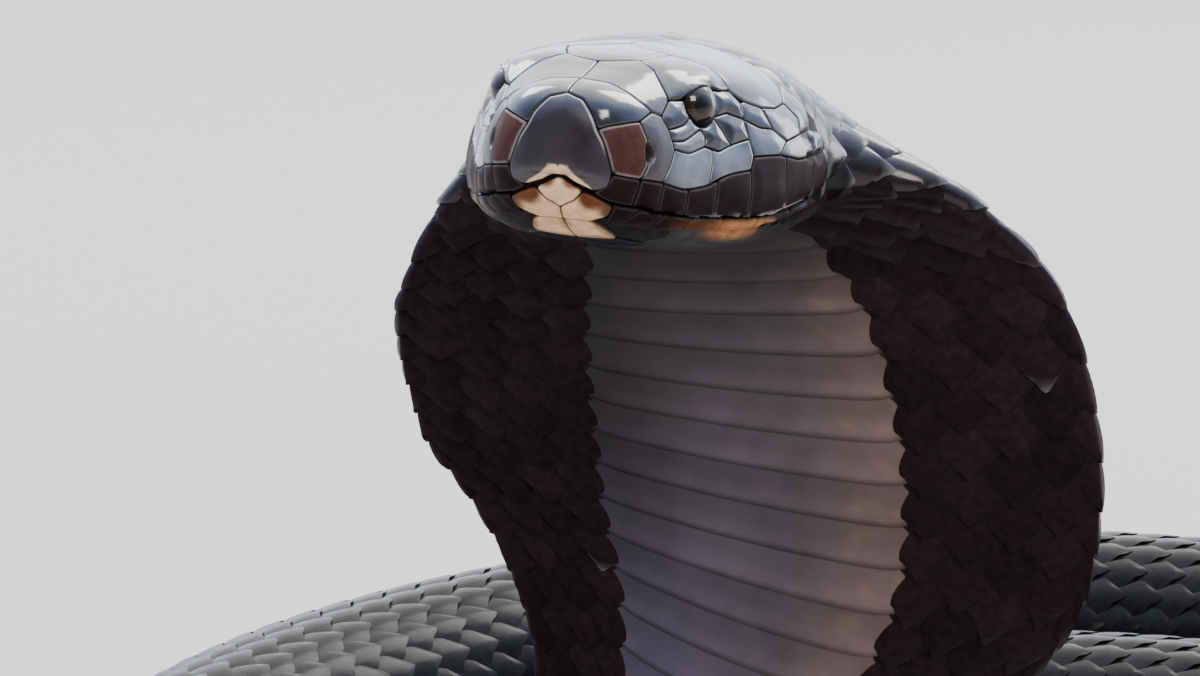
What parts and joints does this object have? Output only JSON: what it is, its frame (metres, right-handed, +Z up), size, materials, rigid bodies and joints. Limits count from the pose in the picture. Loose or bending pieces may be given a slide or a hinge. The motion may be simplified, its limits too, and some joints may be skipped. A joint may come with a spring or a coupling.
{
  "type": "black cobra",
  "caption": "Life-size still model of a black cobra, rearing with its hood spread above a loose flat coil, resting on its belly.",
  "frame": {"origin": "middle of the bounding box's base, on the surface that the coil rests on", "axes": "+Z up from the resting surface to the crown; the hood and face look towards -Y, with the head turned a little towards -X"},
  "size_m": [0.318, 0.3118, 0.1544],
  "materials": {
    "head_shields": "glossy black head shields with a blue-violet sheen, cream chin and front lip",
    "hood_scales": "satin grey-violet belly shields and near-black flanks",
    "body_scales": "satin to glossy black scales",
    "eye": "wet gloss, dark bronze iris with a round black pupil"
  },
  "bodies": {
    "root": {"head": "head_shields", "eye_left": "eye", "eye_right": "eye", "hood": "hood_scales", "neck": "body_scales", "coil_1": "body_scales", "coil_2": "body_scales", "coil_3": "body_scales", "coil_4": "body_scales", "coil_5": "body_scales", "coil_6": "body_scales", "coil_7": "body_scales", "coil_8": "body_scales", "coil_9": "body_scales", "tail_base": "body_scales", "tail_tip": "body_scales"}
  },
  "joints": []
}
